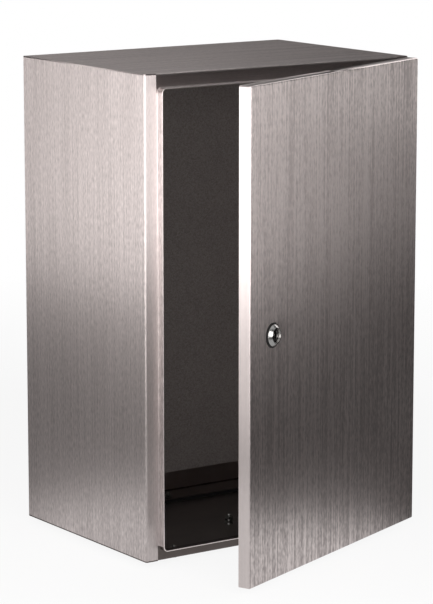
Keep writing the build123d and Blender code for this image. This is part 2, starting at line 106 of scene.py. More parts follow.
def solids_of(node, into=IN_PLACE):
    """The lowest and highest corners of each separate solid in a node, such as each nut of a set."""
    points = points_of(node, into)
    keys = [tuple(round(value, 6) for value in point) for point in points]
    owner = {key: key for key in keys}

    def root(key):
        while owner[key] != key:
            owner[key] = owner[owner[key]]
            key = owner[key]
        return key

    for polygon in frame["nodes"][node].data.polygons:
        first, *others = (keys[index] for index in polygon.vertices)
        for other in others:
            owner[root(other)] = root(first)
    groups = {}
    for key in owner:
        groups.setdefault(root(key), []).append(Vector(key))
    return [extent(group) for _, group in sorted(groups.items())]


def middle_of(node):
    """The middle of a node's box."""
    low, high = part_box(node)
    return (low + high) / 2


# Mesh making

SAME_POINT = 1e-7
SHARP_EDGE = math.radians(35)
EASED_EDGE = math.radians(30)
FLAT_EDGE = math.radians(1)
LONGEST_CUT = 0.45


class Shape:
    """Points and faces gathered from rings of points."""

    def __init__(self):
        self.points = []
        self.faces = []

    def add_rings(self, rings, place=IN_PLACE, joined=False, caps=False):
        """Join rings of equally many points with quads.

        joined also closes the last ring to the first, and caps fill both ends.
        """
        start = len(self.points)
        count = len(rings[0])
        for ring in rings:
            self.points.extend(place @ Vector(point) for point in ring)
        pairs = list(zip(range(len(rings)), range(1, len(rings))))
        if joined:
            pairs.append((len(rings) - 1, 0))
        for first, second in pairs:
            for step in range(count):
                after = (step + 1) % count
                corners = ((first, step), (first, after), (second, after), (second, step))
                self.faces.append([start + ring * count + index for ring, index in corners])
        if caps:
            last = start + (len(rings) - 1) * count
            self.faces.append([start + index for index in range(count)])
            self.faces.append([last + index for index in range(count)])

    def make(self, name, material):
        """Turn what was gathered into a mesh object with one material."""
        mesh = bpy.data.meshes.new(name)
        mesh.from_pydata(self.points, [], self.faces)
        work = bmesh.new()
        work.from_mesh(mesh)
        bmesh.ops.remove_doubles(work, verts=work.verts, dist=SAME_POINT)
        bmesh.ops.recalc_face_normals(work, faces=work.faces)
        work.to_mesh(mesh)
        work.free()
        mesh.polygons.foreach_set("use_smooth", [True] * len(mesh.polygons))
        mesh.set_sharp_from_angle(angle=SHARP_EDGE)
        mesh.materials.append(material)
        piece = bpy.data.objects.new(name, mesh)
        bpy.context.scene.collection.objects.link(piece)
        return piece


def stand_for(piece, body, slot, *nodes):
    """Let a piece ride on a body and stand for CAD nodes; the slot is not used."""
    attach(piece, body)
    if nodes:
        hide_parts(*nodes)
    return piece


def finish_node(node, material):
    """Give a CAD node its finish."""
    node_mesh = frame["nodes"][node].data
    node_mesh.materials.clear()
    node_mesh.materials.append(material)


def along(point, direction):
    """A place at a point whose local Z runs along a direction."""
    return Matrix.Translation(point) @ Vector(direction).to_track_quat("Z", "Y").to_matrix().to_4x4()


def circle(radius, height, segments):
    """One ring of points round the local Z axis; radius may depend on the angle."""
    angles = [math.tau * step / segments for step in range(segments)]
    sizes = [radius(angle) if callable(radius) else radius for angle in angles]
    heights = [height(angle) if callable(height) else height for angle in angles]
    return [
        (size * math.cos(angle), size * math.sin(angle), level)
        for angle, size, level in zip(angles, sizes, heights)
    ]


def rounded(corners, radius, steps=4):
    """A closed outline of (radius, height) corners with each corner turned into a small arc."""
    outline = []
    for index, corner in enumerate(corners):
        here = Vector(corner)
        before = Vector(corners[index - 1]) - here
        after = Vector(corners[(index + 1) % len(corners)]) - here
        cut = min(radius, LONGEST_CUT * before.length, LONGEST_CUT * after.length)
        start = here + before.normalized() * cut
        end = here + after.normalized() * cut
        for step in range(steps + 1):
            done = step / steps
            left = 1 - done
            outline.append(tuple(start * left**2 + here * 2 * done * left + end * done**2))
    return outline


def turned(shape, outline, place, segments=64):
    """A body of revolution from a closed outline of (radius, height) points."""
    shape.add_rings([circle(radius, height, segments) for radius, height in outline], place, joined=True)


def eased_copy(node, name, material, width):
    """A copy of a CAD node's shape with its sharp edges eased, as a punched or cast piece has."""
    work = bmesh.new()
    work.from_mesh(frame["nodes"][node].data)
    bmesh.ops.remove_doubles(work, verts=work.verts, dist=10 * SAME_POINT)
    bmesh.ops.dissolve_limit(work, angle_limit=FLAT_EDGE, verts=work.verts, edges=work.edges)
    folds = [edge for edge in work.edges if len(edge.link_faces) == 2]
    sharp = [edge for edge in folds if edge.calc_face_angle(0.0) > EASED_EDGE]
    bmesh.ops.bevel(
        work, geom=sharp, offset=width, segments=2, profile=0.5, affect="EDGES", clamp_overlap=True
    )
    shape = Shape()
    work.verts.index_update()
    shape.points = [vertex.co.copy() for vertex in work.verts]
    shape.faces = [[vertex.index for vertex in face.verts] for face in work.faces]
    work.free()
    return shape.make(name, material)


# Fasteners

HEX_SIDE = math.radians(60)
NUT_BEVEL = math.tan(math.radians(30))
NUT_FLAT_SHARE = 0.95
BORE_EASE = 0.12
THREAD_DEPTH = 0.55
THREAD_SLOPE = 1.25
THREAD_CREST = 0.125
THREAD_TIP = 0.8
WASHER_EASE = 0.25
SOCKET_DEPTH = 0.6
SOCKET_EASE = 0.04
SOCKET_MOUTH = 1.06
HEAD_CROWN = 0.72
CROWN_TURNS = 0.0, 0.35, 0.7, 1.05, 1.3, math.pi / 2
SEGMENTS = 48


def hexagon(flats):
    """Radius of a hexagon at an angle, with a corner at angle zero."""
    return lambda angle: flats / 2 / math.cos(angle % HEX_SIDE - HEX_SIDE / 2)


def add_nut(shape, place, flats, bore, height):
    """A hexagon nut with its corners bevelled at both ends and its bore eased."""
    flat_circle = NUT_FLAT_SHARE * flats / 2
    wall = hexagon(flats)
    ease = BORE_EASE * bore

    def drop(angle):
        return (wall(angle) - flat_circle) * NUT_BEVEL

    rings = [
        circle(bore, ease, SEGMENTS),
        circle(bore + ease, 0, SEGMENTS),
        circle(flat_circle, 0, SEGMENTS),
        circle(wall, drop, SEGMENTS),
        circle(wall, lambda angle: height - drop(angle), SEGMENTS),
        circle(flat_circle, height, SEGMENTS),
        circle(bore + ease, height, SEGMENTS),
        circle(bore, height - ease, SEGMENTS),
    ]
    shape.add_rings(rings, place, joined=True)


def add_washer(shape, place, radius, bore, thickness):
    """A flat washer with eased edges."""
    corners = [(bore, 0), (radius, 0), (radius, thickness), (bore, thickness)]
    turned(shape, rounded(corners, WASHER_EASE * thickness, 2), place, SEGMENTS)


def thread_rings(radius, pitch, start, end, segments=24, rows_per_turn=6):
    """Rings of a helical thread between two heights."""
    rows = max(2, round((end - start) / pitch * rows_per_turn))
    depth = THREAD_DEPTH * pitch

    def ring(height):
        def size(angle):
            phase = (height / pitch - angle / math.tau) % 1.0
            cut = THREAD_SLOPE * abs(2 * phase - 1) - THREAD_CREST
            return radius - depth * min(1.0, max(0.0, cut))

        return circle(size, height, segments)

    return [ring(start + (end - start) * row / rows) for row in range(rows + 1)]


def add_stud(shape, place, radius, pitch, length):
    """A threaded stud with a bevelled tip."""
    tip = THREAD_TIP * pitch
    rings = thread_rings(radius, pitch, 0, length - tip)
    rings.append(circle(radius - tip, length, len(rings[0])))
    shape.add_rings(rings, place, caps=True)


def add_button_screw(shape, place, radius, pitch, length, head_radius, head_height, socket):
    """A button-head screw with a hexagon socket: local Z runs from the head's crown to the tip."""
    segments = SEGMENTS // 2
    well = hexagon(socket)
    depth = SOCKET_DEPTH * head_height
    crown = HEAD_CROWN * head_radius
    bulge = [
        (crown + (head_radius - crown) * math.sin(turn), HEAD_CROWN * head_height * (1 - math.cos(turn)))
        for turn in CROWN_TURNS
    ]
    rings = [circle(well, depth, segments), circle(well, SOCKET_EASE * head_height, segments)]
    rings.append(circle(lambda angle: SOCKET_MOUTH * well(angle), 0, segments))
    rings.extend(circle(size, level, segments) for size, level in bulge)
    rings.append(circle(head_radius, head_height, segments))
    tip = THREAD_TIP * pitch
    rings.extend(thread_rings(radius, pitch, head_height, length - tip, segments))
    rings.append(circle(radius - tip, length, segments))
    shape.add_rings(rings, place, caps=True)


# Materials

FACE_TURNS = 0.5, 0.9
EDGE_EVENNESS = 0.35
BAND_WIDTH = 9
HAIRLINE_WIDTH = 0.15
HAIRLINE_LENGTH = 0.25
LONG_SHARE = 0.7
BAND_SHARE = 0.1
HAIRLINE_SHARE = 0.2
ROUGHNESS_SWING = 0.03
INSIDE_ROUGHNESS = 0.3, 0.34


def add_node(tree, kind, inputs, **settings):
    """A new node with its settings, and with each input linked to an output or set to a value."""
    node = tree.nodes.new(kind)
    for name, value in settings.items():
        setattr(node, name, value)
    for key, source in inputs.items():
        if isinstance(source, bpy.types.NodeSocket):
            tree.links.new(source, node.inputs[key])
        else:
            node.inputs[key].default_value = source
    return node


class Finish:
    """A node material under construction, with short ways to add the textures it needs."""

    def __init__(self, name, metallic=0.0, roughness=1.0):
        self.material = bpy.data.materials.new(name)
        self.material.use_nodes = True
        self.tree = self.material.node_tree
        self.shader = self.tree.nodes["Principled BSDF"]
        self.shader.inputs["Metallic"].default_value = metallic
        self.shader.inputs["Roughness"].default_value = roughness
        coordinates = self.tree.nodes.new("ShaderNodeTexCoord")
        self.place = coordinates.outputs["Object"]
        self.normal = coordinates.outputs["Normal"]

    def node(self, kind, inputs, **settings):
        """A new node in this material."""
        return add_node(self.tree, kind, inputs, **settings)

    def drive(self, name, output):
        """Link an output to one of the shader's inputs."""
        self.tree.links.new(output, self.shader.inputs[name])

    def noise(self, size, detail=2.0, rough=0.5):
        """Noise whose blobs measure size in metres, one number or (x, y, z)."""
        sizes = size if isinstance(size, tuple) else (size,) * 3
        scale = [1 / value for value in sizes]
        mapping = self.node("ShaderNodeMapping", {"Scale": scale, "Vector": self.place})
        values = {"Scale": 1.0, "Detail": detail, "Roughness": rough}
        texture = self.node("ShaderNodeTexNoise", {"Vector": mapping.outputs["Vector"], **values})
        return texture.outputs["Fac"]

    def cells(self, size):
        """Random grey per cell, for crystals of a given size in metres."""
        return self.node("ShaderNodeTexVoronoi", {"Scale": 1 / size, "Vector": self.place}).outputs["Color"]

    def add(self, *weighted):
        """A weighted sum of (output, weight) pairs."""
        total = 0.0
        for output, weight in weighted:
            inputs = {0: output, 1: weight, 2: total}
            total = self.node("ShaderNodeMath", inputs, operation="MULTIPLY_ADD").outputs[0]
        return total

    def spread(self, output, low, high, start=0.3, end=0.7):
        """Map a texture's middle range onto low to high."""
        limits = {"From Min": start, "From Max": end, "To Min": low, "To Max": high}
        return self.node("ShaderNodeMapRange", {"Value": output, **limits}).outputs["Result"]

    def vector(self, operation, first, second, result="Value"):
        """What a vector operation makes of two vectors."""
        node = self.node("ShaderNodeVectorMath", {0: first, 1: second}, operation=operation)
        return node.outputs[result]

    def inward(self, middle):
        """1 on faces that look towards a middle point, such as the inner faces of a folded box, else 0."""
        away = self.vector("SUBTRACT", self.place, middle, "Vector")
        outward = self.vector("DOT_PRODUCT", away, self.normal)
        return self.node("ShaderNodeMath", {0: outward, 1: 0.0}, operation="LESS_THAN").outputs[0]

    def facing(self, direction):
        """1 on faces that look along a direction, turning to 0 on faces that stand across it."""
        match = self.vector("DOT_PRODUCT", self.normal, direction)
        size = self.node("ShaderNodeMath", {0: match}, operation="ABSOLUTE").outputs[0]
        return self.spread(size, 0.0, 1.0, *FACE_TURNS)

    def blend(self, share, first, second):
        """A colour from first to second, each a colour or an output."""
        ends = [end if isinstance(end, bpy.types.NodeSocket) else (*end, 1.0) for end in (first, second)]
        return self.node("ShaderNodeMix", {0: share, 6: ends[0], 7: ends[1]}, data_type="RGBA").outputs[2]

    def either(self, share, first, second):
        """A number from first to second."""
        return self.node("ShaderNodeMix", {0: share, 2: first, 3: second}).outputs[0]

    def between(self, share, first, second):
        """A shader node from first to second."""
        return self.node("ShaderNodeMixShader", {0: share, 1: first.outputs[0], 2: second.outputs[0]})

    def show(self, shader):
        """Let a shader node be the surface."""
        self.tree.links.new(shader.outputs[0], self.tree.nodes["Material Output"].inputs["Surface"])

    def paint(self, plain_tone):
        """One colour all over."""
        self.shader.inputs["Base Color"].default_value = (*plain_tone, 1.0)

    def colour(self, share, dark, light):
        """Drive the base colour from dark to light."""
        self.drive("Base Color", self.blend(share, dark, light))

    def bump(self, height, depth):
        """Raise and sink the surface by a depth in metres."""
        bumps = self.node("ShaderNodeBump", {"Height": height, "Distance": depth, "Strength": 1.0})
        self.drive("Normal", bumps.outputs["Normal"])

    def brush(self, axis, anisotropy):
        """Draw highlights out across the grain, which runs along an axis."""
        tangent = self.node("ShaderNodeTangent", {}, direction_type="RADIAL", axis=axis)
        self.drive("Tangent", tangent.outputs["Tangent"])
        self.shader.inputs["Anisotropic"].default_value = anisotropy


def grain(axis, width, length):
    """Noise sizes for streaks that run along X or Z."""
    return (length, width, width) if axis == "X" else (width, width, length)


def brushed_sheet(
    name, axis, looks, *, middle, face, inside_tones, width, scratch_share, evenness, edge_painted_light=0.0
):
    """Stainless sheet brushed along X or Z on its outer faces: short scratches over long streaks.

    The streaks show most on the wide faces, which look along a direction, and least on folded edges;
    the edge setting lifts the edges' darkest streaks, a painted highlight on the door's edges.
    The inner faces, which look towards a middle point, keep the smoother mill finish in the inner tones
    given; the body's inner tones are darker than mill steel as painted shade for the box's shaded inside.
    """
    finish = Finish(name, metallic=1.0)
    length = looks.streak_length
    scratches = finish.noise(grain(axis, width, looks.scratch_length), 1.0, 0.6)
    streaks = finish.noise(grain(axis, width, length), 1.0, 0.6)
    bands = finish.noise(grain(axis, BAND_WIDTH * width, 2 * length), 1.0)
    hairlines = finish.noise(grain(axis, HAIRLINE_WIDTH * width, HAIRLINE_LENGTH * length), 2.0, 0.6)
    mixed = finish.add(
        (scratches, scratch_share),
        (streaks, LONG_SHARE - scratch_share),
        (bands, BAND_SHARE),
        (hairlines, HAIRLINE_SHARE),
    )
    # Folded edges: streaks lifted from their darkest by the edge setting, which paints a highlight along the
    # edges.
    edge_streaks_painted_light = finish.spread(mixed, edge_painted_light, 1.0, 0.5 - EDGE_EVENNESS, 0.5 + EDGE_EVENNESS)
    clear_streaks = finish.spread(mixed, 0.0, 1.0, 0.5 - evenness, 0.5 + evenness)
    lightness = finish.either(finish.facing(face), edge_streaks_painted_light, clear_streaks)
    brushed = finish.blend(lightness, looks.sheet_dark, looks.sheet_light)
    clouds = finish.noise(40 * MM, 3.0, 0.6)
    # Inner faces: mill clouds in the inner tones, which on the body are darkened as painted shade.
    plain = finish.blend(finish.spread(clouds, 0.0, 1.0), *inside_tones)
    inside = finish.inward(middle)
    finish.colour(inside, brushed, plain)
    smooth, rough = looks.sheet_roughness - ROUGHNESS_SWING, looks.sheet_roughness + ROUGHNESS_SWING
    rough_outside = finish.spread(lightness, rough, smooth, 0.0, 1.0)
    rough_inside = finish.spread(clouds, *INSIDE_ROUGHNESS)
    finish.drive("Roughness", finish.either(inside, rough_outside, rough_inside))
    finish.bump(hairlines, looks.scratch_depth)
    finish.brush(axis, looks.sheet_anisotropy)
    return finish.material


def cloudy_metal(name, cloud, tones, roughness, detail=3.0, grit=None, relief=0.0):
    """Metal with clouds of a size, from dark to light tone and from smooth to rough, and perhaps a grit."""
    finish = Finish(name, metallic=1.0)
    clouds = finish.noise(cloud, detail, 0.6)
    finish.colour(finish.spread(clouds, 0.0, 1.0), *tones)
    finish.drive("Roughness", finish.spread(clouds, *roughness))
    if grit:
        finish.bump(finish.noise(grit), relief)
    return finish.material


def mill_sheet(name, dark, light):
    """Unbrushed stainless: dull, with faint clouds."""
    return cloudy_metal(name, 30 * MM, (dark, light), (0.34, 0.44), 4.0, grit=0.6 * MM, relief=0.02 * MM)


def cut_edge(looks):
    """The bright, deburred edge of cut sheet, with file marks."""
    return cloudy_metal("deburred_edge", 2 * MM, (looks.sheet_light, looks.edge_light), (0.3, 0.45))


def zinc_plate(looks):
    """Zinc plating on fasteners, a little cloudy, its tones darkened as painted shade for fasteners in the
    box's shade.
    """
    tones = looks.zinc_painted_shade_dark, looks.zinc_painted_shade_light
    return cloudy_metal("zinc_plating_painted_shade", 4 * MM, tones, (0.24, 0.4), grit=0.4 * MM, relief=0.01 * MM)


def polished_chrome(looks):
    """Polished chrome with faint wipe marks."""
    wipes = 3 * MM, 0.6 * MM, 3 * MM
    return cloudy_metal("polished_chrome", wipes, (looks.chrome_dark, looks.chrome_light), (0.2, 0.28))


def dark_lock_metal(looks):
    """The darker satin metal of the lock's core."""
    return cloudy_metal("lock_core_metal", MM, (looks.core_dark, looks.core_light), (0.18, 0.34))


def weld_metal(looks):
    """Weld bead with straw and brown heat tint."""
    return cloudy_metal("weld_heat_tint", 6 * MM, (looks.weld_dark, looks.weld_light), (0.3, 0.5))


def galvanised_sheet(looks):
    """Galvanised steel with a fine, dull speckle."""
    finish = Finish("galvanised_speckle", looks.plate_metallic)
    crystals = finish.cells(looks.speckle_size)
    grit = finish.noise(looks.speckle_size, 3.0, 0.7)
    clouds = finish.noise(50 * MM)
    mixed = finish.add((crystals, 0.45), (grit, 0.4), (clouds, 0.15))
    finish.colour(finish.spread(mixed, 0.0, 1.0, 0.2, 0.8), looks.plate_dark, looks.plate_light)
    finish.drive("Roughness", finish.spread(mixed, 0.5, 0.72, 0.2, 0.8))
    finish.bump(grit, 0.06 * MM)
    return finish.material


def black_foam(looks):
    """Foamed seal: a matt black skin with small pits."""
    finish = Finish("black_foam")
    finish.shader.inputs["Specular IOR Level"].default_value = 0.2
    skin = finish.noise(1.2 * MM, 3.0, 0.6)
    swell = finish.noise(12 * MM, 1.0)
    finish.colour(finish.spread(skin, 0.0, 1.0), looks.foam_dark, looks.foam_light)
    finish.drive("Roughness", finish.spread(skin, 0.7, 0.9))
    finish.bump(finish.add((skin, 0.7), (swell, 0.3)), 0.2 * MM)
    return finish.material


# Settings that a user would change


def tone(name, description, default):
    """A colour setting."""
    return FloatVectorProperty(
        name=name, description=description, default=default, size=3, subtype="COLOR", min=0.0, max=1.0
    )


def measure(name, description, default):
    """A length setting, in metres."""
    return FloatProperty(
        name=name, description=description, default=default, subtype="DISTANCE", unit="LENGTH", precision=5
    )


def fraction(name, description, default):
    """A setting between 0 and 1."""
    return FloatProperty(
        name=name, description=description, default=default, subtype="FACTOR", min=0.0, max=1.0
    )


def position(name, description, default):
    """A point setting, in metres."""
    return FloatVectorProperty(
        name=name, description=description, default=default, subtype="TRANSLATION", unit="LENGTH"
    )


def bearing(name, description, degrees):
    """An angle setting."""
    return FloatProperty(
        name=name, description=description, default=math.radians(degrees), subtype="ANGLE", unit="ROTATION"
    )


def amount(name, description, default):
    """A setting with no unit, such as a brightness."""
    return FloatProperty(name=name, description=description, default=default, min=0.0)


class EnclosureLooks(bpy.types.PropertyGroup):
    """Colours and textures of the enclosure's finishes."""

    sheet_dark: tone("Sheet dark", "Darker streaks of the brushed sheet", (0.41, 0.365, 0.36))
    sheet_light: tone("Sheet light", "Lighter streaks of the brushed sheet", (0.79, 0.715, 0.70))
    sheet_roughness: fraction("Sheet roughness", "Roughness of the brushed sheet", 0.41)
    sheet_anisotropy: fraction("Sheet anisotropy", "How far highlights are drawn out across the grain", 0.95)
    body_grain: measure("Body grain", "Width of a brushed streak on the body", 2.0 * MM)
    door_grain: measure("Door grain", "Width of a brushed streak on the door", 3.0 * MM)
    scratch_length: measure("Scratch length", "Length of the short brush scratches", 7.5 * MM)
    streak_length: measure("Streak length", "Length of the long brushed streaks", 240 * MM)
    scratch_depth: measure("Scratch depth", "Depth of the brush hairlines", 0.003 * MM)
    # Inner faces of the body: mill clouds, darkened as painted shade for the shaded inside of the box.
    inside_mill_painted_shade_dark: tone("Inside dark", "Darker clouds of the body's inner faces", (0.26, 0.225, 0.215))
    inside_mill_painted_shade_light: tone("Inside light", "Lighter clouds of the body's inner faces", (0.32, 0.278, 0.266))
    door_inside_dark: tone("Door inside dark", "Darker clouds of the door's inner face", (0.44, 0.40, 0.39))
    door_inside_light: tone(
        "Door inside light", "Lighter clouds of the door's inner face", (0.50, 0.455, 0.445)
    )
    edge_light: tone("Edge light", "Bright deburred edges", (0.90, 0.83, 0.81))
    # Bottom panel: mill clouds, its own texture, in tones far darker than steel, which are painted shade.
    bottom_painted_shade_dark: tone("Bottom dark", "Darker clouds of the bottom panel", (0.11, 0.093, 0.088))
    bottom_painted_shade_light: tone("Bottom light", "Lighter clouds of the bottom panel", (0.145, 0.124, 0.117))
    mill_dark: tone("Mill dark", "Darker clouds of the unbrushed sheet", (0.22, 0.205, 0.20))
    mill_light: tone("Mill light", "Lighter clouds of the unbrushed sheet", (0.30, 0.28, 0.275))
    plate_dark: tone("Plate dark", "Darker specks of the mounting plate", (0.21, 0.187, 0.18))
    plate_light: tone("Plate light", "Lighter specks of the mounting plate", (0.44, 0.402, 0.388))
    plate_metallic: fraction("Plate metallic", "How metallic the mounting plate is", 0.35)
    speckle_size: measure("Speckle size", "Size of the mounting plate's specks", 1.6 * MM)
    # Zinc tones set well below bright zinc: painted shade for fasteners in the box's shaded inside.
    zinc_painted_shade_dark: tone("Zinc dark", "Darker clouds of the zinc plating", (0.24, 0.24, 0.23))
    zinc_painted_shade_light: tone("Zinc light", "Lighter clouds of the zinc plating", (0.40, 0.40, 0.385))
    chrome_dark: tone("Chrome dark", "Wipe marks on the chrome", (0.30, 0.295, 0.29))
    chrome_light: tone("Chrome light", "Clean chrome", (0.40, 0.395, 0.39))
    core_dark: tone("Core dark", "Darker clouds of the lock core", (0.16, 0.15, 0.145))
    core_light: tone("Core light", "Lighter clouds of the lock core", (0.30, 0.29, 0.28))
    foam_dark: tone("Foam dark", "Pits of the foamed seal", (0.006, 0.006, 0.006))
    foam_light: tone("Foam light", "Skin of the foamed seal", (0.022, 0.021, 0.021))
    weld_dark: tone("Weld dark", "Brown heat tint of the welds", (0.05, 0.04, 0.034))
    weld_light: tone("Weld light", "Straw heat tint of the welds", (0.15, 0.122, 0.105))


class EnclosureSizes(bpy.types.PropertyGroup):
    """Sizes of the small forms that the solids leave plain."""

    plate_pitch: measure("Plate stud pitch", "Thread pitch of the mounting plate's studs", 1.25 * MM)
    earth_pitch: measure("Earth stud pitch", "Thread pitch of the earth studs", 1.0 * MM)
    gland_pitch: measure("Gland screw pitch", "Thread pitch of the gland plate's screws", 0.8 * MM)
    gland_socket: measure("Gland screw socket", "Across the flats of the gland screws' sockets", 3.0 * MM)
    seal_width: measure("Seal width", "Width of the foamed door seal", 12 * MM)
    seal_swell: measure("Seal swell", "How far the poured seal swells and sinks along its run", 0.2 * MM)
    weld_leg: measure("Weld leg", "Leg of the weld bead along the inner corners", 2.0 * MM)
    weld_ripple: measure("Weld ripple", "Spacing of the weld bead's ripples", 3.0 * MM)
    sheet: measure("Sheet", "Thickness of the body's sheet", 1.5 * MM)
    lip_side: measure("Lip side", "Half the width across the lip's outer faces", 181 * MM)
    lip_top: measure("Lip top", "Height of the lip's upper outer face", 283 * MM)
    lip_bottom: measure("Lip bottom", "Height of the lip's lower outer face", -287 * MM)
    lip_round: measure("Lip round", "How far the lip's rounded edge stands out", 0.25 * MM)
    weld_front: measure("Weld front", "How far behind the lip's tip the welds stop", 15 * MM)
    seal_corner: measure("Seal corner", "Corner radius of the door seal's middle line", 5.25 * MM)
    cast_edge: measure("Cast edge", "Easing of the hinges', cam's and core's edges", 0.3 * MM)
    plate_bore: measure("Plate stud bore", "Bore of the mounting plate's nuts and washers", 8.1 * MM)
    earth_bore: measure("Earth stud bore", "Bore of the earth studs' nuts and washers", 6.1 * MM)
    gland_bore: measure("Gland screw thread", "Outside diameter of the gland screws' thread", 5.0 * MM)
    gland_head: measure("Gland screw head", "Height of the gland screws' heads", 2.7 * MM)
    bezel_edge: measure("Bezel edge", "Rounding of the lock bezel's edges", 0.5 * MM)
    bezel_height: measure("Bezel height", "How far the lock's bezel stands out", 5.0 * MM)
    bezel_rim: measure("Bezel rim", "Upright rim of the lock's bezel", 1.0 * MM)
    crest: measure("Crest", "Diameter of the bezel's crest", 19.4 * MM)
    crest_width: measure("Crest width", "Width of the bezel's crest", 0.8 * MM)
    dish: measure("Dish", "Diameter of the dish inside the bezel", 15.6 * MM)
    dish_depth: measure("Dish depth", "Depth of the dish inside the bezel", 2.6 * MM)
    # The dish's dark layer is painted shade in the bezel's recess.
    dish_painted_shade_thickness: measure("Dish lining", "Thickness of the dish's dark lining", 0.15 * MM)
    barrel: measure("Barrel", "Diameter of the lock's barrel", 20.0 * MM)
    lock_bore: measure("Lock bore", "Bore of the lock's housing", 14.1 * MM)
    lock_pitch: measure("Lock thread pitch", "Thread pitch of the lock's barrel", 1.5 * MM)
    pocket: measure("Key pocket", "Diameter of the key pocket", 10.4 * MM)
    pocket_depth: measure("Key pocket depth", "Depth of the key pocket", 9.0 * MM)
    pin: measure("Key pin", "Diameter of the pin in the key pocket", 3.2 * MM)
    pin_sink: measure("Key pin sink", "How far the pin stands behind the core's face", 0.5 * MM)
    wing_reach: measure("Wing reach", "Length across the pin's two wings", 7.0 * MM)
    wing_thickness: measure("Wing thickness", "Thickness of the pin's wings", 1.6 * MM)
    tail: measure("Tail", "Side of the core's square tail", 8.0 * MM)


class EnclosureStudio(bpy.types.PropertyGroup):
    """Camera, lamps, floor and dark cloth."""

    camera_place: position("Camera place", "Where the camera stands", (-2.0459, -3.0903, 0.6474))
    camera_turn: bearing("Camera turn", "Turn of the camera from +Y towards +X", 34.762)
    camera_dip: bearing("Camera dip", "How far the camera looks down", 10.4836)
    camera_lens: amount("Lens", "Focal length in millimetres", 169.15)
    front_level: amount("Front level", "Brightness of the front soft box", 4.4)
    key_level: amount("Key level", "Brightness of the key soft box", 3.0)
    left_level: amount("Left level", "Brightness of the left soft box", 1.9)
    back_level: amount("Back level", "Brightness of the back soft box", 3.0)
    lamp_tone: tone("Lamp tone", "Colour of the soft boxes", (1.0, 0.985, 0.975))
    lamp_middle: position("Lamp middle", "The point that the soft boxes stand round", (0.0, -0.2, 0.0))
    cloth_place: position("Cloth place", "Middle of the cloth's front opening", (-0.31, -0.44, 0.0))
    cloth_open: measure("Cloth open", "Radius within which the cloth is open", 0.38)
    cloth_closed: measure("Cloth closed", "Radius beyond which the cloth is closed", 0.60)
    rear_place: position(
        "Rear place", "Middle of the cloth's opening behind the right side", (0.95, 0.5, 0.0)
    )
    rear_open: measure("Rear open", "Radius within which the rear cloth is open", 0.45)
    rear_closed: measure("Rear closed", "Radius beyond which the rear cloth is closed", 0.85)
    cloth_back: fraction("Cloth back", "How much the thinner cloth behind the object hides", 0.84)
    cloth_veil: fraction("Cloth veil", "How much the thin cloth across the opening hides", 0.18)
    cloth_tone: tone("Cloth tone", "Colour of the dark cloth", (0.010, 0.006, 0.005))
    curtain_distance: measure("Curtain distance", "How far away the dark curtain hangs", 3.6)
    curtain_height: measure("Curtain height", "Top of the dark curtain", 4.2)
    room_tone: tone("Room tone", "Even light of the room on matt surfaces", (0.12, 0.12, 0.12))
    floor_reach: measure("Floor reach", "Radius of the floor", 1.8)
    floor_white: fraction("Floor white", "How much of the floor's look is plain white", 0.9)
    floor_tone: tone("Floor tone", "Colour of the floor", (0.86, 0.86, 0.86))


# Operators


WELD_ROWS_PER_RIPPLE = 4
WELD_LOW = 0.78
WELD_WAVE = 0.14
WELD_DRIFT = 0.04
WELD_SLOW_DRIFT = 7.3
WELD_QUICK_DRIFT = 2.9
WELD_DRIFT_START = 1.3
WELD_SECTION = (0.0, 0.0), (1.0, 0.0), (0.55, 0.4), (0.25, 0.7), (0.0, 1.0)


def add_weld(shape, start, end, inward, upward, leg, ripple):
    """A rippled fillet weld along an inner corner, from start to end."""
    run = end - start
    rows = max(2, round(run.length / ripple * WELD_ROWS_PER_RIPPLE))
    rings = []
    for row in range(rows + 1):
        travel = run.length * row / rows
        wave = abs(math.sin(math.pi * travel / ripple))
        slow = math.sin(travel / (WELD_SLOW_DRIFT * ripple))
        quick = math.sin(travel / (WELD_QUICK_DRIFT * ripple) + WELD_DRIFT_START)
        size = leg * (WELD_LOW + WELD_WAVE * wave + WELD_DRIFT * (slow + quick))
        centre = start + run * row / rows
        rings.append([centre + inward * across * size + upward * up * size for across, up in WELD_SECTION])
    shape.add_rings(rings, caps=True)


SEAL_FOOT = 0.96
SEAL_SIDE = 0.3
SEAL_STEPS = 12
SEAL_PROFILE = [(-SEAL_FOOT, 0.0)] + [
    (
        math.copysign(abs(math.cos(turn)) ** 0.55, -math.cos(turn)),
        SEAL_SIDE + (1 - SEAL_SIDE) * math.sin(turn) ** 0.8,
    )
    for turn in (math.pi * step / SEAL_STEPS for step in range(SEAL_STEPS + 1))
] + [(SEAL_FOOT, 0.0)]
SEAL_LONG_SWELL = 41 * MM
SEAL_SHORT_SWELL = 17.3 * MM
SEAL_SWELL_START = 0.8
LIP_EDGE_STEPS = 8
LIP_EDGE_STEP = 50 * MM


def rounded_loop(left, right, bottom, top, radius, step=6 * MM, arc_steps=6):
    """Points of a rounded rectangle, each as (x, z, outward x, outward z)."""
    corners = (
        (right - radius, top - radius, 0.0),
        (left + radius, top - radius, math.pi / 2),
        (left + radius, bottom + radius, math.pi),
        (right - radius, bottom + radius, 3 * math.pi / 2),
    )
    loop = []
    for index, (x, z, start) in enumerate(corners):
        for arc_step in range(arc_steps + 1):
            turn = start + math.pi / 2 * arc_step / arc_steps
            out = (math.cos(turn), math.sin(turn))
            loop.append((x + radius * out[0], z + radius * out[1], *out))
        next_x, next_z, next_start = corners[(index + 1) % 4]
        out = (math.cos(next_start), math.sin(next_start))
        here = Vector(loop[-1][:2])
        there = Vector((next_x + radius * out[0], next_z + radius * out[1]))
        count = round((there - here).length / step)
        for along_step in range(1, count):
            point = here.lerp(there, along_step / count)
            loop.append((point.x, point.y, *out))
    return loop


